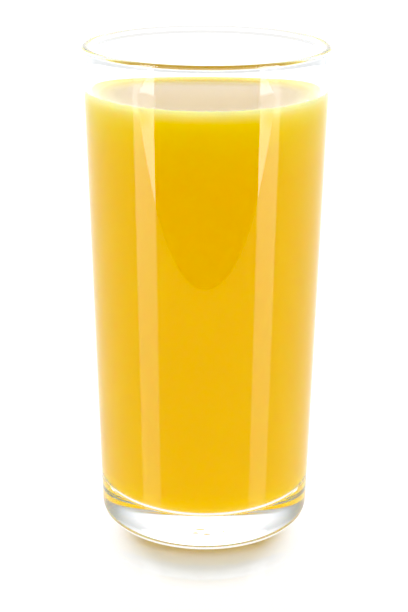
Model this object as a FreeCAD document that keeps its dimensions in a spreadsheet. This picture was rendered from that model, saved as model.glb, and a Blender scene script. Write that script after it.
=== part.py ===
import FreeCAD, Part
import os
import math
import Sketcher

# A tall, slightly tapered drinking glass of orange juice.  Two solids, both
# turned about the upright axis: the clear glass (thick base, soft foot,
# straight tapered wall, gently flared lip a little thicker than the wall) and the juice that fills it
# from the inside floor up to the pouring level, with a small meniscus where
# the liquid climbs the wall.  Origin: centre of the bearing plane, +Z up.

doc = FreeCAD.newDocument("GlassOfOrangeJuice")
sheet = doc.addObject("Spreadsheet::Sheet", "Sizes")

# millimetres, except taper (degrees)
SIZES = [
    ("height", 142.8),              # bearing plane to the top of the lip
    ("shoulder_height", 133.8),     # where the straight wall ends and the flare begins
    ("shoulder_radius", 34.36),     # outside radius there
    ("taper_angle", 1.566),         # lean of the wall from the upright
    ("flare_radius", 80.0),         # radius of the outward curve under the lip
    ("wall_thickness", 1.9),        # square to the wall
    ("lip_thickness", 2.4),         # the fire-polished lip, a full round
    ("lip_fillet", 6.0),            # hollow curve from the inside wall up to the lip
    ("foot_side_round", 5.5),       # tighter upper part of the foot's rounding
    ("foot_under_round", 7.5),      # slower lower part of the foot's rounding
    ("foot_round_centre", 5.8),     # height of the upper rounding's centre
    ("bearing_inner", 16.0),        # inside radius of the ring the glass stands on
    ("push_up", 0.5),               # rise of the hollow underside at the axis
    ("floor_height", 10.6),         # inside floor above the bearing plane
    ("floor_round", 8.0),           # rounding between inside floor and wall
    ("juice_level", 128.8),         # flat surface of the juice
    ("meniscus_rise", 1.9),         # how far the juice climbs the wall
    ("meniscus_reach", 4.5),        # how far in from the wall it starts to climb
]
V = {}
for row, (name, value) in enumerate(SIZES, start=1):
    sheet.set("A%d" % row, name)
    sheet.set("B%d" % row, "%g" % value)
    sheet.setAlias("B%d" % row, name)
    V[name] = value
doc.recompute()

vec = FreeCAD.Vector
beta = math.radians(V["taper_angle"])
UP = (math.sin(beta), math.cos(beta))        # along the wall, upwards
OUT = (math.cos(beta), -math.sin(beta))      # square to the wall, outwards


def add(p, q, k):
    return (p[0] + q[0] * k, p[1] + q[1] * k)


def v3(p):
    return vec(p[0], p[1], 0)


def arc_between(centre, start, end, anticlockwise=True):
    """Arc of a circle about centre from start to end, as a sketch edge."""
    radius = math.hypot(start[0] - centre[0], start[1] - centre[1])
    a0 = math.atan2(start[1] - centre[1], start[0] - centre[0])
    a1 = math.atan2(end[1] - centre[1], end[0] - centre[0])
    if not anticlockwise:
        a0, a1 = a1, a0
    while a1 < a0:
        a1 += 2.0 * math.pi
    return Part.ArcOfCircle(Part.Circle(v3(centre), vec(0, 0, 1), radius), a0, a1)


class Outline:
    """Closed half-section: a chain of lines and arcs, joined end to end."""

    def __init__(self, sketch):
        self.sketch = sketch
        self.items = []                      # (geometry index, start point id, end point id)

    def line(self, p, q):
        i = self.sketch.addGeometry(Part.LineSegment(v3(p), v3(q)), False)
        self.items.append((i, 1, 2))
        return i

    def arc(self, centre, p, q, anticlockwise=True):
        i = self.sketch.addGeometry(arc_between(centre, p, q, anticlockwise), False)
        self.items.append((i, 1, 2) if anticlockwise else (i, 2, 1))
        return i

    def join(self, smooth):
        """Close the chain; smooth[k] says that item k runs into the next with no corner."""
        n = len(self.items)
        for k in range(n):
            a, _, a_end = self.items[k]
            b, b_start, _ = self.items[(k + 1) % n]
            kind = "Tangent" if smooth[k] else "Coincident"
            self.sketch.addConstraint(Sketcher.Constraint(kind, a, a_end, b, b_start))


def new_body(label):
    body = doc.addObject("PartDesign::Body", "Body_" + label)
    body.Label = label
    plane = [f for f in body.Origin.OriginFeatures if f.Role == "XZ_Plane"][0]
    sketch = body.newObject("Sketcher::SketchObject", "Section_" + label)
    sketch.AttachmentSupport = [(plane, "")]
    sketch.MapMode = "FlatFace"
    return body, sketch


def dimension(sketch, kind, args, name, value, expression):
    i = sketch.addConstraint(Sketcher.Constraint(kind, *args, value))
    sketch.renameConstraint(i, name)
    sketch.setExpression("Constraints." + name, expression)
    return i


def turn(body, sketch, label):
    rev = body.newObject("PartDesign::Revolution", "Turned_" + label)
    rev.Profile = sketch
    rev.ReferenceAxis = (sketch, ["V_Axis"])
    rev.Angle = 360.0
    sketch.Visibility = False
    body.Tip = rev
    return rev


# ---------------------------------------------------------------- the glass
body_glass, sk = new_body("glass")

shoulder_out = (V["shoulder_radius"], V["shoulder_height"])
shoulder_in = add(shoulder_out, OUT, -V["wall_thickness"])


def wall_out(z):
    return (shoulder_out[0] - (shoulder_out[1] - z) * math.tan(beta), z)


def wall_in(z):
    return (shoulder_in[0] - (shoulder_in[1] - z) * math.tan(beta), z)


# foot: upper rounding rolls off the wall, lower rounding runs onto the bearing plane
ra, rb, za = V["foot_side_round"], V["foot_under_round"], V["foot_round_centre"]
foot_top = wall_out(za - ra * math.sin(beta))
ca = (foot_top[0] - ra * math.cos(beta), za)
cb = (ca[0] - math.sqrt((rb - ra) ** 2 - (rb - za) ** 2), rb)
k = 1.0 / math.hypot(ca[0] - cb[0], ca[1] - cb[1])
foot_mid = (cb[0] + (ca[0] - cb[0]) * k * rb, cb[1] + (ca[1] - cb[1]) * k * rb)
foot_low = (cb[0], 0.0)

# hollow underside: a shallow cap of a sphere
bi, pu = V["bearing_inner"], V["push_up"]
rs = (bi * bi + pu * pu) / (2.0 * pu)
cs = (0.0, pu - rs)

# lip: outward curve outside, hollow curve inside, and a full round between them
fr, wt, lr, lf = V["flare_radius"], V["wall_thickness"], V["lip_thickness"] / 2.0, V["lip_fillet"]
cf = add(shoulder_out, OUT, fr)
lip_z = V["height"] - lr
ang = math.pi - math.asin((lip_z - cf[1]) / (fr + lr))
lip_c = (cf[0] + (fr + lr) * math.cos(ang), lip_z)
lip_out = (cf[0] + fr * math.cos(ang), cf[1] + fr * math.sin(ang))
rel = (lip_c[0] - shoulder_in[0], lip_c[1] - shoulder_in[1])
across = rel[0] * OUT[0] + rel[1] * OUT[1]          # lip centre, square out from the inside wall
along = rel[0] * UP[0] + rel[1] * UP[1]
neck_in = add(shoulder_in, UP, along - math.sqrt((lf + lr) ** 2 - (lf + across) ** 2))
ci = add(neck_in, OUT, -lf)
k = lf / (lf + lr)
lip_in = (ci[0] + (lip_c[0] - ci[0]) * k, ci[1] + (lip_c[1] - ci[1]) * k)

# inside floor and its rounding
fz, fc = V["floor_height"], V["floor_round"]
cc = add(wall_in(0.0), OUT, 0.0)
cz = fz + fc
edge = wall_in(cz - fc * math.sin(beta))
cc = (edge[0] - fc * math.cos(beta), cz)
floor_edge = (cc[0], fz)

o = Outline(sk)
g_dome = o.arc(cs, (0.0, pu), (bi, 0.0), anticlockwise=False)
g_bear = o.line((bi, 0.0), foot_low)
g_under = o.arc(cb, foot_low, foot_mid)
g_side = o.arc(ca, foot_mid, foot_top)
g_wall = o.line(foot_top, shoulder_out)
g_flare = o.arc(cf, shoulder_out, lip_out, anticlockwise=False)
g_lip = o.arc(lip_c, lip_out, lip_in)
g_neck = o.arc(ci, lip_in, neck_in, anticlockwise=False)
g_inner = o.line(neck_in, edge)
g_corner = o.arc(cc, edge, floor_edge, anticlockwise=False)
g_floor = o.line(floor_edge, (0.0, fz))
g_axis = o.line((0.0, fz), (0.0, pu))
o.join([False, True, True, True, True, True, True, True, True, True, False, False])

C = Sketcher.Constraint
sk.addConstraint(C("PointOnObject", g_axis, 1, -2))
sk.addConstraint(C("PointOnObject", g_axis, 2, -2))
sk.addConstraint(C("PointOnObject", g_dome, 3, -2))
sk.addConstraint(C("Horizontal", g_bear))
sk.addConstraint(C("PointOnObject", g_bear, 1, -1))
sk.addConstraint(C("Horizontal", g_floor))
sk.addConstraint(C("Parallel", g_wall, g_inner))
dimension(sk, "DistanceY", (-1, 1, g_axis, 2), "PushUp", pu, "Sizes.push_up")
dimension(sk, "DistanceX", (-1, 1, g_bear, 1), "BearingInner", bi, "Sizes.bearing_inner")
dimension(sk, "Radius", (g_under,), "FootUnder", rb, "Sizes.foot_under_round")
dimension(sk, "Radius", (g_side,), "FootSide", ra, "Sizes.foot_side_round")
dimension(sk, "DistanceY", (-1, 1, g_side, 3), "FootCentre", za, "Sizes.foot_round_centre")
dimension(sk, "DistanceX", (-1, 1, g_wall, 2), "ShoulderRadius", V["shoulder_radius"], "Sizes.shoulder_radius")
dimension(sk, "DistanceY", (-1, 1, g_wall, 2), "ShoulderHeight", V["shoulder_height"], "Sizes.shoulder_height")
dimension(sk, "Angle", (g_wall,), "WallAngle", math.pi / 2 - beta, "90 deg - Sizes.taper_angle * 1 deg")
dimension(sk, "Radius", (g_flare,), "Flare", fr, "Sizes.flare_radius")
dimension(sk, "Radius", (g_lip,), "Lip", lr, "Sizes.lip_thickness / 2")
dimension(sk, "Radius", (g_neck,), "LipFillet", lf, "Sizes.lip_fillet")
dimension(sk, "Distance", (g_wall, 2, g_inner), "Wall", wt, "Sizes.wall_thickness")
dimension(sk, "DistanceY", (-1, 1, g_lip, 3), "LipCentre", lip_z, "Sizes.height - Sizes.lip_thickness / 2")
dimension(sk, "DistanceY", (-1, 1, g_axis, 1), "FloorHeight", fz, "Sizes.floor_height")
dimension(sk, "Radius", (g_corner,), "FloorRound", fc, "Sizes.floor_round")
turned_glass = turn(body_glass, sk, "glass")

# ---------------------------------------------------------------- the juice
body_juice, sj = new_body("orange_juice")

lv, mr, mw = V["juice_level"], V["meniscus_rise"], V["meniscus_reach"]
crest = wall_in(lv + mr)
flat_edge = (crest[0] - mw, lv)
rm = (mw * mw + mr * mr) / (2.0 * mr)
cm = (flat_edge[0], lv + rm)

o = Outline(sj)
j_floor = o.line((0.0, fz), floor_edge)
j_corner = o.arc(cc, floor_edge, edge)
j_wall = o.line(edge, crest)
j_men = o.arc(cm, crest, flat_edge, anticlockwise=False)
j_top = o.line(flat_edge, (0.0, lv))
j_axis = o.line((0.0, lv), (0.0, fz))
o.join([True, True, False, True, False, False])

sj.addConstraint(C("PointOnObject", j_axis, 1, -2))
sj.addConstraint(C("PointOnObject", j_axis, 2, -2))
sj.addConstraint(C("Horizontal", j_floor))
sj.addConstraint(C("Horizontal", j_top))
tilt = "Sizes.taper_angle * 1 deg"
dimension(sj, "DistanceY", (-1, 1, j_axis, 2), "FloorHeight", fz, "Sizes.floor_height")
dimension(sj, "DistanceY", (-1, 1, j_axis, 1), "Level", lv, "Sizes.juice_level")
dimension(sj, "Radius", (j_corner,), "FloorRound", fc, "Sizes.floor_round")
dimension(sj, "Angle", (j_wall,), "WallAngle", math.pi / 2 - beta, "90 deg - " + tilt)
dimension(sj, "DistanceY", (-1, 1, j_wall, 2), "CrestHeight", lv + mr, "Sizes.juice_level + Sizes.meniscus_rise")
dimension(sj, "DistanceX", (-1, 1, j_wall, 2), "CrestRadius", crest[0],
          "Sizes.shoulder_radius - Sizes.wall_thickness * cos(" + tilt + ")"
          " - (Sizes.shoulder_height + Sizes.wall_thickness * sin(" + tilt + ")"
          " - Sizes.juice_level - Sizes.meniscus_rise) * tan(" + tilt + ")")
dimension(sj, "DistanceX", (j_top, 1, j_wall, 2), "MeniscusReach", mw, "Sizes.meniscus_reach")
turned_juice = turn(body_juice, sj, "orange_juice")

doc.recompute()

# ---------------------------------------------------------------- checks
for obj in doc.Objects:
    for state in obj.State:
        if "Invalid" in state or "Error" in state:
            raise RuntimeError("%s is in state %s" % (obj.Label, obj.State))
for sketch in (sk, sj):
    sketch.solve()
    print(sketch.Label, "free directions:", sketch.solve(), "fully constrained:", sketch.FullyConstrained)

os.makedirs("parts", exist_ok=True)
for body in (body_glass, body_juice):
    shape = body.Shape
    if shape.isNull() or not shape.isValid():
        raise RuntimeError("%s did not build" % body.Label)
    bb = shape.BoundBox
    print(body.Label, "solids", len(shape.Solids), "faces", len(shape.Faces),
          "volume cm3 %.3f" % (shape.Volume / 1000.0),
          "box", [round(x, 3) for x in (bb.XMin, bb.YMin, bb.ZMin, bb.XMax, bb.YMax, bb.ZMax)])
    shape.exportStep("parts/%s.step" % body.Label)
common = body_glass.Shape.common(body_juice.Shape)
print("shared volume mm3 %.6f" % common.Volume, "gap mm %.6f" % body_glass.Shape.distToShape(body_juice.Shape)[0])
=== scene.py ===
import math
import random
import bpy
import numpy as np
from mathutils import Matrix, Vector


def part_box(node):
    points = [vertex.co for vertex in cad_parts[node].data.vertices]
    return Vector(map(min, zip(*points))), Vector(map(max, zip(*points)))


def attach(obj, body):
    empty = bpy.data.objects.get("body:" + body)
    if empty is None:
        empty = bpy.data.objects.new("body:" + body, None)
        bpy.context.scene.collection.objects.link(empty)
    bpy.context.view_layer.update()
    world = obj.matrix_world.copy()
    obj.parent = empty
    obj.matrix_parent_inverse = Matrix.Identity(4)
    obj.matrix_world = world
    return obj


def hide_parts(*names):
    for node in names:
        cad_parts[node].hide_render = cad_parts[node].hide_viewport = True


# A glass of orange juice: the clear glass and the juice are turned again here
# as fine, smooth meshes on the CAD sizes, the juice reaching a little into the
# wall so that no air gap shows, plus the small things a pour leaves behind.

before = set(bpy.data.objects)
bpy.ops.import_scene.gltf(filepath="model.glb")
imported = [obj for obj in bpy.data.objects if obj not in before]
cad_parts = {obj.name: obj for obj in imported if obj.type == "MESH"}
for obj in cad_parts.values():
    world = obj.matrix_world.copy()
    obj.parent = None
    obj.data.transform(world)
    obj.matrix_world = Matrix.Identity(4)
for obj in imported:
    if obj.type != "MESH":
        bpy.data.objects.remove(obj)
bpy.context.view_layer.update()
glass_lo, glass_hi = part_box("glass")
juice_lo, juice_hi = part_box("orange_juice")

MM = (glass_hi.z - glass_lo.z) / 142.8           # metres in a millimetre of the drawing
BASE_Z = glass_lo.z

# ------------------------------------------------------------------ sizes, mm
S = dict(
    height=142.8, shoulder_height=133.8, shoulder_radius=34.36, taper=1.566,
    flare=80.0, wall=1.9, lip=2.4, lip_fillet=6.0,
    foot_side=5.5, foot_under=7.5, foot_centre=5.8,
    bearing_inner=16.0, push_up=0.5, floor=10.6, floor_round=8.0,
    level=128.8, rise=1.9,
)
# the bubble at the wall: (direction in degrees, radius in mm, how far sunk in mm)
BUBBLES = [(-33.0, 0.58, 0.05)]
# air seeds in the base: centre and half sizes in mm
SEEDS = [(-1.0, -27.2, 7.6, 1.30, 0.34, 0.22), (-2.3, -27.0, 6.5, 0.80, 0.30, 0.20), (0.8, -27.0, 6.1, 0.90, 0.30, 0.16),
         (5.4, -26.6, 6.8, 0.45, 0.20, 0.14)]
BETA = math.radians(S["taper"])
SO = (S["shoulder_radius"], S["shoulder_height"])
SI = (SO[0] - S["wall"] * math.cos(BETA), SO[1] + S["wall"] * math.sin(BETA))


def wall_out(z):
    return (SO[0] - (SO[1] - z) * math.tan(BETA), z)


def wall_in(z):
    return (SI[0] - (SI[1] - z) * math.tan(BETA), z)


def arc(c, r, a0, a1, n):
    return [(c[0] + r * math.cos(a0 + (a1 - a0) * i / n), c[1] + r * math.sin(a0 + (a1 - a0) * i / n))
            for i in range(n + 1)]


def span(p, q, n):
    return [(p[0] + (q[0] - p[0]) * i / n, p[1] + (q[1] - p[1]) * i / n) for i in range(n + 1)]


def chain(*runs):
    """Runs of points joined end to end, without the doubled joints."""
    out = []
    for run in runs:
        for p in run:
            if not out or math.hypot(p[0] - out[-1][0], p[1] - out[-1][1]) > 1e-4:
                out.append(p)
    return out


def glass_section():
    ra, rb, za = S["foot_side"], S["foot_under"], S["foot_centre"]
    top = wall_out(za - ra * math.sin(BETA))
    ca = (top[0] - ra * math.cos(BETA), za)
    cb = (ca[0] - math.sqrt((rb - ra) ** 2 - (rb - za) ** 2), rb)
    mid = math.atan2(ca[1] - cb[1], ca[0] - cb[0])
    bi, pu = S["bearing_inner"], S["push_up"]
    rs = (bi * bi + pu * pu) / (2 * pu)
    a_dome = math.atan2(-(pu - rs), bi)
    fr, lr, lf = S["flare"], S["lip"] / 2, S["lip_fillet"]
    up, out = (math.sin(BETA), math.cos(BETA)), (math.cos(BETA), -math.sin(BETA))
    cf = (SO[0] + fr * out[0], SO[1] + fr * out[1])
    lip_z = S["height"] - lr
    a_sh = math.pi - BETA
    a_lip = math.pi - math.asin((lip_z - cf[1]) / (fr + lr))
    cl = (cf[0] + (fr + lr) * math.cos(a_lip), lip_z)
    rel = (cl[0] - SI[0], cl[1] - SI[1])
    across = rel[0] * out[0] + rel[1] * out[1]
    along = rel[0] * up[0] + rel[1] * up[1] - math.sqrt((lf + lr) ** 2 - (lf + across) ** 2)
    neck = (SI[0] + along * up[0], SI[1] + along * up[1])
    ci = (neck[0] - lf * out[0], neck[1] - lf * out[1])
    a_in = math.atan2(cl[1] - ci[1], cl[0] - ci[0])
    fz, fc = S["floor"], S["floor_round"]
    edge = wall_in(fz + fc - fc * math.sin(BETA))
    cc = (edge[0] - fc * math.cos(BETA), fz + fc)
    # the edge where the hollow underside meets the standing ring is fire-polished
    dome = arc((0.0, pu - rs), rs, math.pi / 2, a_dome, 24)
    dome = dome[:-1] + [(bi + 0.02, 0.012), (bi + 0.25, 0.0)]
    return chain(
        dome,
        span((bi + 0.25, 0.0), (cb[0], 0.0), 6),
        arc(cb, rb, -math.pi / 2, mid, 14),
        arc(ca, ra, mid, -BETA, 18),
        span(top, SO, 56),
        arc(cf, fr, a_sh, a_lip, 18),
        arc(cl, lr, a_lip - math.pi, a_in + math.pi, 26),
        arc(ci, lf, a_in, -BETA, 10),
        span(neck, edge, 60),
        arc(cc, fc, -BETA, -math.pi / 2, 20),
        span((cc[0], fz), (0.0, fz), 14),
    )


def juice_section(into=0.16):
    """Juice outline: floor, corner and wall pushed `into` the glass, then the meniscus and the flat top."""
    fz, fc = S["floor"], S["floor_round"]
    edge = wall_in(fz + fc - fc * math.sin(BETA))
    cc = (edge[0] - fc * math.cos(BETA), fz + fc)
    n = (math.cos(BETA), -math.sin(BETA))
    crest_z = S["level"] + S["rise"]
    crest = wall_in(crest_z)
    e_out = (edge[0] + n[0] * into, edge[1] + n[1] * into)
    c_out = (crest[0] + n[0] * into, crest[1] + n[1] * into)
    # the liquid's own edge is a soft turn, not a knife: it thins out up the wall
    reach, tail = 2.6, 20.0
    top = []
    for i in range(61):
        d = tail * (i / 60.0) ** 1.8
        e = (math.exp(-d / reach) - math.exp(-tail / reach)) / (1.0 - math.exp(-tail / reach))
        top.append((crest[0] - d, S["level"] + S["rise"] * e))
    flat_r = top[-1][0]
    return chain(
        span((0.0, fz - into), (cc[0], fz - into), 14),
        arc(cc, fc + into, -math.pi / 2, -BETA, 20),
        span(e_out, c_out, 60),
        top,
        span((flat_r, S["level"]), (0.0, S["level"]), 16),
    )


def lathe(name, section, segments, origin=(0.0, 0.0)):
    """Turns a closed half-section (from the axis, round, back to the axis) about +Z."""
    verts, rings = [], []
    for r, z in section:
        z = BASE_Z + z * MM
        if r < 1e-6:
            rings.append([len(verts)])
            verts.append((origin[0], origin[1], z))
        else:
            ring = []
            for k in range(segments):
                a = 2 * math.pi * k / segments
                ring.append(len(verts))
                verts.append((origin[0] + r * MM * math.cos(a), origin[1] + r * MM * math.sin(a), z))
            rings.append(ring)
    faces = []
    for lower, upper in zip(rings[:-1], rings[1:]):
        for k in range(segments):
            k2 = (k + 1) % segments
            if len(lower) == 1 and len(upper) == 1:
                continue
            if len(lower) == 1:
                faces.append((lower[0], upper[k2], upper[k]))
            elif len(upper) == 1:
                faces.append((lower[k], lower[k2], upper[0]))
            else:
                faces.append((lower[k], lower[k2], upper[k2], upper[k]))
    mesh = bpy.data.meshes.new(name)
    mesh.from_pydata(verts, [], faces)
    mesh.validate()
    mesh.polygons.foreach_set("use_smooth", [True] * len(mesh.polygons))
    mesh.update()
    obj = bpy.data.objects.new(name, mesh)
    bpy.context.scene.collection.objects.link(obj)
    return obj


# ------------------------------------------------------------------ materials
def new_material(name):
    mat = bpy.data.materials.new(name)
    mat.use_nodes = True
    nt = mat.node_tree
    nt.nodes.clear()
    out = nt.nodes.new("ShaderNodeOutputMaterial")
    bsdf = nt.nodes.new("ShaderNodeBsdfPrincipled")
    nt.links.new(bsdf.outputs["BSDF"], out.inputs["Surface"])
    return mat, nt, bsdf


def node(nt, kind, **values):
    n = nt.nodes.new(kind)
    for key, value in values.items():
        if key in n.inputs:
            n.inputs[key].default_value = value
        else:
            setattr(n, key, value)
    return n


def noise(nt, coord, scale, detail=3.0, rough=0.5, stretch=(1, 1, 1)):
    m = node(nt, "ShaderNodeMapping")
    m.inputs["Scale"].default_value = (scale * stretch[0], scale * stretch[1], scale * stretch[2])
    nt.links.new(coord, m.inputs["Vector"])
    n = node(nt, "ShaderNodeTexNoise")
    n.inputs["Scale"].default_value = 1.0
    n.inputs["Detail"].default_value = detail
    n.inputs["Roughness"].default_value = rough
    nt.links.new(m.outputs["Vector"], n.inputs["Vector"])
    return n.outputs["Fac"]


def ramp(nt, fac, stops):
    r = node(nt, "ShaderNodeValToRGB")
    while len(r.color_ramp.elements) > 1:
        r.color_ramp.elements.remove(r.color_ramp.elements[0])
    r.color_ramp.elements[0].position = stops[0][0]
    r.color_ramp.elements[0].color = tuple(stops[0][1]) + (1.0,)
    for pos, col in stops[1:]:
        e = r.color_ramp.elements.new(pos)
        e.color = tuple(col) + (1.0,)
    nt.links.new(fac, r.inputs["Fac"])
    return r.outputs["Color"]


def spread(nt, fac, lo, hi):
    r = node(nt, "ShaderNodeMapRange")
    r.inputs["To Min"].default_value = lo
    r.inputs["To Max"].default_value = hi
    nt.links.new(fac, r.inputs["Value"])
    return r.outputs["Result"]


def glass_material():
    mat, nt, b = new_material("clear_glass")
    co = node(nt, "ShaderNodeTexCoord").outputs["Object"]
    b.inputs["Transmission Weight"].default_value = 1.0
    b.inputs["IOR"].default_value = 1.52
    b.inputs["Metallic"].default_value = 0.0
    # a trace of cool green-blue, a little uneven as in pressed soda-lime glass
    tint = noise(nt, co, 60.0, 2.0)
    nt.links.new(ramp(nt, tint, [(0.3, (0.985, 0.993, 0.995)), (0.7, (0.995, 0.998, 0.998))]), b.inputs["Base Color"])
    # fire-polished: almost no haze, a breath of it here and there
    nt.links.new(spread(nt, noise(nt, co, 180.0, 4.0), 0.0, 0.006), b.inputs["Roughness"])
    # faint drawing waves up the wall
    wave = noise(nt, co, 22.0, 2.0, 0.4, stretch=(1.0, 1.0, 0.25))
    bump = node(nt, "ShaderNodeBump")
    bump.inputs["Strength"].default_value = 0.06
    bump.inputs["Distance"].default_value = 0.0004
    nt.links.new(wave, bump.inputs["Height"])
    nt.links.new(bump.outputs["Normal"], b.inputs["Normal"])
    return mat


def juice_material(name, top):
    mat, nt, b = new_material(name)
    out = [n for n in nt.nodes if n.type == "OUTPUT_MATERIAL"][0]
    co = node(nt, "ShaderNodeTexCoord").outputs["Object"]
    # slow drifts of pulp density, and a fine cloudiness
    slow = noise(nt, co, 35.0, 3.0, 0.5, stretch=(1.0, 1.0, 0.6))
    fine = noise(nt, co, 420.0, 5.0, 0.6)
    mix = node(nt, "ShaderNodeMix")
    mix.data_type = "FLOAT"
    mix.inputs[0].default_value = 0.35
    nt.links.new(slow, mix.inputs[2])
    nt.links.new(fine, mix.inputs[3])
    drift = ramp(nt, mix.outputs[0], [(0.30, (0.985, 0.965, 0.80)), (0.50, (0.995, 0.985, 0.9)), (0.70, (1.0, 1.0, 1.0))])
    if top:
        # painted light: paler close to the wall, where light shines through the thin edge of the juice; darker over
        # the middle
        flat = node(nt, "ShaderNodeVectorMath", operation="MULTIPLY")
        flat.inputs[1].default_value = (1.0, 1.0, 0.0)
        length = node(nt, "ShaderNodeVectorMath", operation="LENGTH")
        nt.links.new(co, flat.inputs[0])
        nt.links.new(flat.outputs["Vector"], length.inputs[0])
        out_to = node(nt, "ShaderNodeMapRange")
        out_to.inputs["From Min"].default_value = 0.0205
        out_to.inputs["From Max"].default_value = wall_in(S["level"])[0] * MM
        nt.links.new(length.outputs["Value"], out_to.inputs["Value"])
        body = ramp(nt, out_to.outputs["Result"], [
            (0.00, (0.400, 0.215, 0.004)),
            (0.40, (0.430, 0.255, 0.010)),
            (0.75, (0.680, 0.490, 0.110)),
            (0.92, (0.930, 0.780, 0.360)),
            (1.00, (0.940, 0.800, 0.400)),
        ])
        base = node(nt, "ShaderNodeMix")
        base.data_type = "RGBA"
        nt.links.new(body, base.inputs[6])
    else:
        # painted light: the juice pales up the last few millimetres below its surface, where light from above enters
        # it and shines through the thin edge against the wall
        sep = node(nt, "ShaderNodeSeparateXYZ")
        nt.links.new(co, sep.inputs["Vector"])
        below = node(nt, "ShaderNodeMapRange")
        crest = BASE_Z + (S["level"] + S["rise"]) * MM
        below.inputs["From Min"].default_value = crest - 0.025
        below.inputs["From Max"].default_value = crest
        nt.links.new(sep.outputs["Z"], below.inputs["Value"])
        body = ramp(nt, below.outputs["Result"], [
            (0.00, (0.965, 0.585, 0.002)),
            (0.24, (0.965, 0.595, 0.002)),
            (0.52, (0.965, 0.620, 0.003)),
            (0.72, (0.965, 0.665, 0.006)),
            (0.82, (0.965, 0.710, 0.040)),
            (0.88, (0.965, 0.750, 0.110)),
            (0.935, (0.960, 0.810, 0.280)),
            (0.985, (0.950, 0.850, 0.540)),
        ])
        base = node(nt, "ShaderNodeMix")
        base.data_type = "RGBA"
        nt.links.new(body, base.inputs[6])
    base.blend_type = "MULTIPLY"
    base.inputs[0].default_value = 1.0
    nt.links.new(drift, base.inputs[7])
    nt.links.new(base.outputs[2], b.inputs["Base Color"])
    b.inputs["Subsurface Weight"].default_value = 1.0
    b.inputs["Subsurface Radius"].default_value = (1.0, 0.7, 0.25)
    b.inputs["Subsurface Scale"].default_value = 0.0030
    b.inputs["Subsurface Anisotropy"].default_value = 0.0
    bump = node(nt, "ShaderNodeBump")
    bump.inputs["Strength"].default_value = 0.10 if top else 0.05
    bump.inputs["Distance"].default_value = 0.0002
    nt.links.new(fine, bump.inputs["Height"])
    nt.links.new(bump.outputs["Normal"], b.inputs["Normal"])
    b.inputs["IOR"].default_value = 1.34
    if top:
        nt.links.new(spread(nt, fine, 0.03, 0.10), b.inputs["Roughness"])
        return mat
    # against the glass the juice is the thinner medium: past about 62 degrees
    # the wall and the floor mirror instead of showing the juice
    b.inputs["Specular IOR Level"].default_value = 0.0
    fres = node(nt, "ShaderNodeFresnel")
    fres.inputs["IOR"].default_value = 1.34 / 1.52
    shine = node(nt, "ShaderNodeBsdfGlossy")
    shine.inputs["Color"].default_value = (1.0, 1.0, 1.0, 1.0)
    nt.links.new(spread(nt, fine, 0.0, 0.03), shine.inputs["Roughness"])
    both = node(nt, "ShaderNodeMixShader")
    nt.links.new(fres.outputs["Fac"], both.inputs["Fac"])
    nt.links.new(b.outputs["BSDF"], both.inputs[1])
    nt.links.new(shine.outputs["BSDF"], both.inputs[2])
    nt.links.new(both.outputs["Shader"], out.inputs["Surface"])
    return mat


MAT_GLASS = glass_material()
MAT_JUICE = juice_material("orange_juice_body", top=False)
MAT_TOP = juice_material("orange_juice_surface", top=True)

# ------------------------------------------------------------------ the glass
glass = lathe("glass_turned", glass_section(), 224)
glass.data.materials.append(MAT_GLASS)
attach(glass, "root")
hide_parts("glass")

# ------------------------------------------------------------------ the juice
sec = juice_section()
juice = lathe("juice_fill", sec, 200)
juice.data.materials.append(MAT_JUICE)
juice.data.materials.append(MAT_TOP)
crest_z = BASE_Z + (S["level"] + S["rise"]) * MM
inner = wall_in(S["level"])[0] * MM
for poly in juice.data.polygons:
    c = poly.center
    r = math.hypot(c.x, c.y)
    if c.z > BASE_Z + (S["level"] - 1.0) * MM and poly.normal.z > 0.2:
        poly.material_index = 1
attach(juice, "root")
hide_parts("orange_juice")

# ------------------------------------------------------------------ small things
def pip(verts, faces, centre, radii, rings=8, segments=14, top_only=False):
    """Adds one small smooth blob, or its upper half closed underneath, to a vertex and face list."""
    base = len(verts)
    last = rings // 2 if top_only else rings
    verts.append((centre[0], centre[1], centre[2] + radii[2]))
    for i in range(1, last + (1 if top_only else 0)):
        t = math.pi * i / rings
        for k in range(segments):
            a = 2 * math.pi * k / segments
            verts.append((centre[0] + radii[0] * math.sin(t) * math.cos(a),
                          centre[1] + radii[1] * math.sin(t) * math.sin(a),
                          centre[2] + radii[2] * math.cos(t)))
    count = last if top_only else last - 1
    end = len(verts)
    verts.append((centre[0], centre[1], centre[2] - (0.0 if top_only else radii[2])))
    for k in range(segments):
        k2 = (k + 1) % segments
        faces.append((base, base + 1 + k, base + 1 + k2))
        for i in range(count - 1):
            a, b = base + 1 + i * segments, base + 1 + (i + 1) * segments
            faces.append((a + k, b + k, b + k2, a + k2))
        low = base + 1 + (count - 1) * segments
        faces.append((low + k, end, low + k2))


def small_piece(name, verts, faces, mat):
    mesh = bpy.data.meshes.new(name)
    mesh.from_pydata(verts, [], faces)
    mesh.validate()
    mesh.polygons.foreach_set("use_smooth", [True] * len(mesh.polygons))
    mesh.update()
    obj = bpy.data.objects.new(name, mesh)
    bpy.context.scene.collection.objects.link(obj)
    mesh.materials.append(mat)
    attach(obj, "root")
    return obj


# a bubble left by the pour, caught where the juice meets the wall
def bubble_material():
    mat, nt, b = new_material("juice_bubble")
    co = node(nt, "ShaderNodeTexCoord").outputs["Object"]
    b.inputs["IOR"].default_value = 1.34
    b.inputs["Transmission Weight"].default_value = 0.10
    nt.links.new(spread(nt, noise(nt, co, 900.0, 3.0), 0.02, 0.08), b.inputs["Roughness"])
    # painted highlight: the near-white base colour stands for the bright highlight on the clear bubble
    nt.links.new(ramp(nt, noise(nt, co, 600.0, 2.0), [(0.3, (0.97, 0.96, 0.92)), (0.7, (0.99, 0.985, 0.97))]),
                 b.inputs["Base Color"])
    return mat


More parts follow.
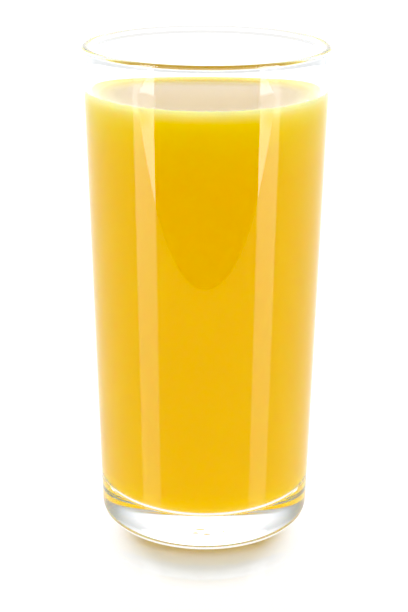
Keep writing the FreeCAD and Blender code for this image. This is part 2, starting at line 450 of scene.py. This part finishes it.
verts, faces = [], []
wall_r = wall_in(S["level"] + S["rise"])[0]
for deg, size, drop in BUBBLES:
    a = math.radians(deg)
    rr = (wall_r - size * 1.05) * MM
    zz = BASE_Z + (S["level"] + S["rise"] * math.exp(-size * 1.05 / 2.6) - drop) * MM
    pip(verts, faces, (rr * math.cos(a), rr * math.sin(a), zz), (size * MM,) * 3)
small_piece("pour_bubbles", verts, faces, bubble_material())


# tiny air seeds low in the thick base, left from pressing the glass
def seed_material():
    mat, nt, b = new_material("air_seed")
    co = node(nt, "ShaderNodeTexCoord").outputs["Object"]
    b.inputs["IOR"].default_value = 1.0 / 1.52
    b.inputs["Transmission Weight"].default_value = 1.0
    nt.links.new(spread(nt, noise(nt, co, 900.0, 2.0), 0.0, 0.03), b.inputs["Roughness"])
    # painted reflection: the gold tint on these clear air seeds is the juice colour they show, painted in
    nt.links.new(ramp(nt, noise(nt, co, 500.0, 2.0), [(0.3, (0.78, 0.60, 0.24)), (0.7, (0.90, 0.76, 0.42))]),
                 b.inputs["Base Color"])
    return mat


verts, faces = [], []
for x, y, z, rx, ry, rz in SEEDS:
    pip(verts, faces, (x * MM, y * MM, BASE_Z + z * MM), (rx * MM, ry * MM, rz * MM))
small_piece("air_seeds", verts, faces, seed_material())

# ------------------------------------------------------------------ stage
SOFT = 1.72                                      # soft light all round, as the juice and the floor receive it


def stage_floor():
    xs = np.linspace(-1.3, 1.3, 27)
    ys = np.linspace(-0.242, 1.6, 21)
    verts = [(float(x), float(y), BASE_Z - 0.00005) for y in ys for x in xs]
    faces = []
    nx = len(xs)
    for j in range(len(ys) - 1):
        for i in range(nx - 1):
            a = j * nx + i
            faces.append((a, a + 1, a + nx + 1, a + nx))
    mesh = bpy.data.meshes.new("stage_floor")
    mesh.from_pydata(verts, [], faces)
    mesh.update()
    obj = bpy.data.objects.new("stage_floor", mesh)
    bpy.context.scene.collection.objects.link(obj)
    mat, nt, b = new_material("stage_white")
    b.inputs["Base Color"].default_value = (0.52, 0.52, 0.52, 1.0)
    b.inputs["Roughness"].default_value = 0.03
    b.inputs["IOR"].default_value = 1.5
    out = [n for n in nt.nodes if n.type == "OUTPUT_MATERIAL"][0]
    geo = node(nt, "ShaderNodeNewGeometry")
    length = node(nt, "ShaderNodeVectorMath", operation="LENGTH")
    flat = node(nt, "ShaderNodeVectorMath", operation="MULTIPLY_ADD")
    flat.inputs[1].default_value = (1.22, 1.0, 0.0)
    flat.inputs[2].default_value = (0.0, 0.016, 0.0)
    nt.links.new(geo.outputs["Position"], flat.inputs[0])
    nt.links.new(flat.outputs["Vector"], length.inputs[0])
    # mask of the painted glow: 0 inside an ellipse set forward of the glass, 1 beyond it
    fac = node(nt, "ShaderNodeMapRange")
    fac.interpolation_type = "SMOOTHSTEP"
    fac.inputs["From Min"].default_value = 0.020
    fac.inputs["From Max"].default_value = 0.035
    nt.links.new(length.outputs["Value"], fac.inputs["Value"])
    glow = node(nt, "ShaderNodeEmission")
    glow.inputs["Color"].default_value = (1, 1, 1, 1)
    glow.inputs["Strength"].default_value = 1.0
    gloss = node(nt, "ShaderNodeBsdfGlossy")
    gloss.inputs["Roughness"].default_value = 0.03
    fres = node(nt, "ShaderNodeFresnel")
    fres.inputs["IOR"].default_value = 1.5
    sheen = node(nt, "ShaderNodeMixShader")
    nt.links.new(fres.outputs["Fac"], sheen.inputs["Fac"])
    nt.links.new(glow.outputs["Emission"], sheen.inputs[1])
    both = node(nt, "ShaderNodeAddShader")
    # painted light: away from the glass the camera sees a glowing white emission plus its gloss instead of the shaded
    # floor, so this glow sets where the contact shadow stops; near the glass, inside an ellipse set forward of it,
    # the floor is plain white gloss paint. All other rays see the glowing floor everywhere, brighter for diffuse rays
    tint = node(nt, "ShaderNodeMixShader")
    nt.links.new(fres.outputs["Fac"], tint.inputs["Fac"])
    black = node(nt, "ShaderNodeEmission")
    black.inputs["Strength"].default_value = 0.0
    nt.links.new(black.outputs["Emission"], tint.inputs[1])
    nt.links.new(gloss.outputs["BSDF"], tint.inputs[2])
    nt.links.new(glow.outputs["Emission"], both.inputs[0])
    nt.links.new(tint.outputs["Shader"], both.inputs[1])
    nt.nodes.remove(sheen)
    path = node(nt, "ShaderNodeLightPath")
    lit = node(nt, "ShaderNodeMath", operation="GREATER_THAN")
    lit.inputs[1].default_value = 0.5
    nt.links.new(path.outputs["Diffuse Depth"], lit.inputs[0])
    nt.links.new(spread(nt, lit.outputs["Value"], 1.0, SOFT), glow.inputs["Strength"])
    keep = node(nt, "ShaderNodeMath", operation="SUBTRACT")
    keep.inputs[0].default_value = 1.0
    nt.links.new(path.outputs["Is Camera Ray"], keep.inputs[1])
    most = node(nt, "ShaderNodeMath", operation="MAXIMUM")
    nt.links.new(fac.outputs["Result"], most.inputs[0])
    nt.links.new(keep.outputs["Value"], most.inputs[1])
    mix = node(nt, "ShaderNodeMixShader")
    nt.links.new(most.outputs["Value"], mix.inputs["Fac"])
    nt.links.new(b.outputs["BSDF"], mix.inputs[1])
    nt.links.new(both.outputs["Shader"], mix.inputs[2])
    nt.links.new(mix.outputs["Shader"], out.inputs["Surface"])
    mesh.materials.append(mat)
    return obj


floor = stage_floor()


def strip_light(name, azimuth, width_deg, distance, z0, z1, radiance, fade=None, passes=3.5):
    """Tall soft strip standing off to one side of the camera; azimuth is from the camera's side (-Y)."""
    a = math.radians(azimuth)
    centre = Vector((math.sin(a) * distance, -math.cos(a) * distance, (z0 + z1) / 2))
    across = Vector((math.cos(a), math.sin(a), 0.0)) * distance * math.tan(math.radians(width_deg / 2))
    up = Vector((0, 0, (z1 - z0) / 2))
    verts = [centre - across - up, centre + across - up, centre + across + up, centre - across + up]
    mesh = bpy.data.meshes.new(name)
    mesh.from_pydata([tuple(v) for v in verts], [], [(0, 1, 2, 3)])
    obj = bpy.data.objects.new(name, mesh)
    bpy.context.scene.collection.objects.link(obj)
    mat = bpy.data.materials.new(name)
    mat.use_nodes = True
    nt = mat.node_tree
    nt.nodes.clear()
    out = nt.nodes.new("ShaderNodeOutputMaterial")
    em = nt.nodes.new("ShaderNodeEmission")
    path = nt.nodes.new("ShaderNodeLightPath")
    less = node(nt, "ShaderNodeMath", operation="LESS_THAN")
    less.inputs[1].default_value = 0.5
    gain = node(nt, "ShaderNodeMath", operation="MULTIPLY")
    gain.inputs[1].default_value = radiance
    nt.links.new(path.outputs["Diffuse Depth"], less.inputs[0])
    once = node(nt, "ShaderNodeMath", operation="LESS_THAN")
    once.inputs[1].default_value = passes
    nt.links.new(path.outputs["Transmission Depth"], once.inputs[0])
    pair = node(nt, "ShaderNodeMath", operation="MULTIPLY")
    nt.links.new(less.outputs["Value"], pair.inputs[0])
    nt.links.new(once.outputs["Value"], pair.inputs[1])
    nt.links.new(pair.outputs["Value"], gain.inputs[0])
    if fade:
        # softbox falling off towards its upper end: full below fade[0], fade[2] of it above fade[1]
        geo = node(nt, "ShaderNodeNewGeometry")
        sep = node(nt, "ShaderNodeSeparateXYZ")
        nt.links.new(geo.outputs["Position"], sep.inputs["Vector"])
        off = node(nt, "ShaderNodeMapRange")
        off.inputs["From Min"].default_value = fade[0]
        off.inputs["From Max"].default_value = fade[1]
        off.inputs["To Min"].default_value = 1.0
        off.inputs["To Max"].default_value = fade[2]
        nt.links.new(sep.outputs["Z"], off.inputs["Value"])
        last = node(nt, "ShaderNodeMath", operation="MULTIPLY")
        nt.links.new(gain.outputs["Value"], last.inputs[0])
        nt.links.new(off.outputs["Result"], last.inputs[1])
        gain = last
    nt.links.new(gain.outputs["Value"], em.inputs["Strength"])
    nt.links.new(em.outputs["Emission"], out.inputs["Surface"])
    mat.cycles.emission_sampling = "NONE"
    mesh.materials.append(mat)
    obj.visible_camera = False
    obj.visible_diffuse = False
    obj.visible_shadow = False
    return obj


strip_light("stage_strip_left", -59.5, 22.0, 0.95, 0.0, 1.0, 11.0, passes=0.5)
strip_light("stage_strip_left_low", -59.5, 22.0, 0.95, -0.45, -0.002, 5.9, (-0.124, -0.108, 0.20))
strip_light("stage_strip_right", 60.5, 21.0, 0.95, 0.0, 1.0, 11.0, passes=0.5)
strip_light("stage_strip_right_low", 60.5, 21.0, 0.95, -0.45, -0.002, 5.9, (-0.124, -0.108, 0.20))

# ------------------------------------------------------------------ world
world = bpy.data.worlds.new("studio")
bpy.context.scene.world = world
world.use_nodes = True
wt = world.node_tree
wt.nodes.clear()
w_out = wt.nodes.new("ShaderNodeOutputWorld")
w_bg = wt.nodes.new("ShaderNodeBackground")
wt.links.new(w_bg.outputs["Background"], w_out.inputs["Surface"])
w_path = wt.nodes.new("ShaderNodeLightPath")
w_co = wt.nodes.new("ShaderNodeTexCoord")
w_sep = wt.nodes.new("ShaderNodeSeparateXYZ")
wt.links.new(w_co.outputs["Generated"], w_sep.inputs["Vector"])


def wmath(op, a, b=None):
    n = wt.nodes.new("ShaderNodeMath")
    n.operation = op
    for i, v in enumerate((a, b)):
        if v is None:
            continue
        if isinstance(v, (int, float)):
            n.inputs[i].default_value = v
        else:
            wt.links.new(v, n.inputs[i])
    return n.outputs["Value"]


# azimuth away from the camera's side, 0..1 for 0..180 degrees
neg_y = wmath("MULTIPLY", w_sep.outputs["Y"], -1.0)
az = wmath("DIVIDE", wmath("ABSOLUTE", wmath("ARCTAN2", w_sep.outputs["X"], neg_y)), math.pi)
around = ramp(wt, az, [
    (0.00, (0.012, 0.014, 0.016)),
    (0.42, (0.020, 0.024, 0.028)),
    (0.60, (0.14, 0.18, 0.22)),
    (0.71, (0.38, 0.44, 0.49)),
    (0.79, (0.82, 0.86, 0.90)),
    (0.86, (1.20, 1.22, 1.25)),
    (0.93, (1.85, 1.85, 1.85)),
    (1.00, (1.90, 1.90, 1.90)),
])
# the soft light is a shade warmer from the camera's side than from behind
soft = ramp(wt, az, [
    (0.00, (SOFT, SOFT * 0.93, SOFT)),
    (0.35, (SOFT, SOFT * 1.01, SOFT)),
    (0.62, (SOFT, SOFT * 1.14, SOFT)),
    (1.00, (SOFT, SOFT * 1.18, SOFT)),
])


def choose(test, otherwise, then):
    n = node(wt, "ShaderNodeMix")
    n.data_type = "RGBA"
    wt.links.new(test, n.inputs[0])
    for value, socket in ((otherwise, n.inputs[6]), (then, n.inputs[7])):
        if isinstance(value, tuple):
            socket.default_value = value
        else:
            wt.links.new(value, socket)
    return n.outputs[2]


# straight through the clear glass the plain backdrop shows from any side;
# what the glass mirrors is the studio: dark by the camera, pale behind
# the ceiling over the backdrop is a cool grey
steep = wt.nodes.new("ShaderNodeMapRange")
steep.interpolation_type = "SMOOTHSTEP"
steep.inputs["From Min"].default_value = 0.42
steep.inputs["From Max"].default_value = 0.72
wt.links.new(w_sep.outputs["Z"], steep.inputs["Value"])
straight = wmath("LESS_THAN", w_path.outputs["Glossy Depth"], 0.5)
seen = choose(straight, around, (1.0, 1.0, 1.0, 1.0))
seen = choose(steep.outputs["Result"], seen, (0.36, 0.41, 0.47, 1.0))
seen = choose(wmath("GREATER_THAN", w_path.outputs["Diffuse Depth"], 0.5), seen, soft)
seen = choose(w_path.outputs["Is Camera Ray"], seen, (1.0, 1.0, 1.0, 1.0))
wt.links.new(seen, w_bg.inputs["Color"])
w_bg.inputs["Strength"].default_value = 1.0

# ------------------------------------------------------------------ camera
def photo_camera():
    dist, elev, yaw, pitch, roll, focal_px = 0.460, 0.31764, 0.00077, -0.01130, -0.00539, 1574.1
    mid = Vector((0.0, 0.0, (glass_lo.z + glass_hi.z) / 2))
    place = mid + Vector((0.0, -dist * math.cos(elev), dist * math.sin(elev)))
    fwd = (mid - place).normalized()
    right = fwd.cross(Vector((0, 0, 1))).normalized()
    up = right.cross(fwd)
    turn = Matrix.Rotation(yaw, 3, up)
    fwd, right = turn @ fwd, turn @ right
    turn = Matrix.Rotation(pitch, 3, right)
    fwd, up = turn @ fwd, turn @ up
    turn = Matrix.Rotation(roll, 3, fwd)
    right, up = turn @ right, turn @ up
    cam = bpy.data.cameras.new("camera")
    obj = bpy.data.objects.new("camera", cam)
    bpy.context.scene.collection.objects.link(obj)
    rot = Matrix((right, up, -fwd)).transposed().to_4x4()
    obj.matrix_world = Matrix.Translation(place) @ rot
    cam.sensor_fit = "AUTO"
    cam.sensor_width = 36.0
    cam.lens = focal_px / 612.0 * 36.0
    cam.clip_start, cam.clip_end = 0.05, 20.0
    cam.dof.use_dof = False
    bpy.context.scene.camera = obj


photo_camera()

sc = bpy.context.scene
sc.view_settings.view_transform = "Standard"
sc.view_settings.look = "None"
sc.view_settings.exposure = 0.0
sc.view_settings.gamma = 1.0
# printed-picture blacks: the deepest blue closes a little above zero
sc.view_settings.use_curve_mapping = True
sc.view_settings.curve_mapping.black_level = (0.0, 0.0, 0.044)
sc.view_settings.curve_mapping.update()
sc.cycles.max_bounces = 24
sc.cycles.transmission_bounces = 24
sc.cycles.glossy_bounces = 16
sc.cycles.diffuse_bounces = 8
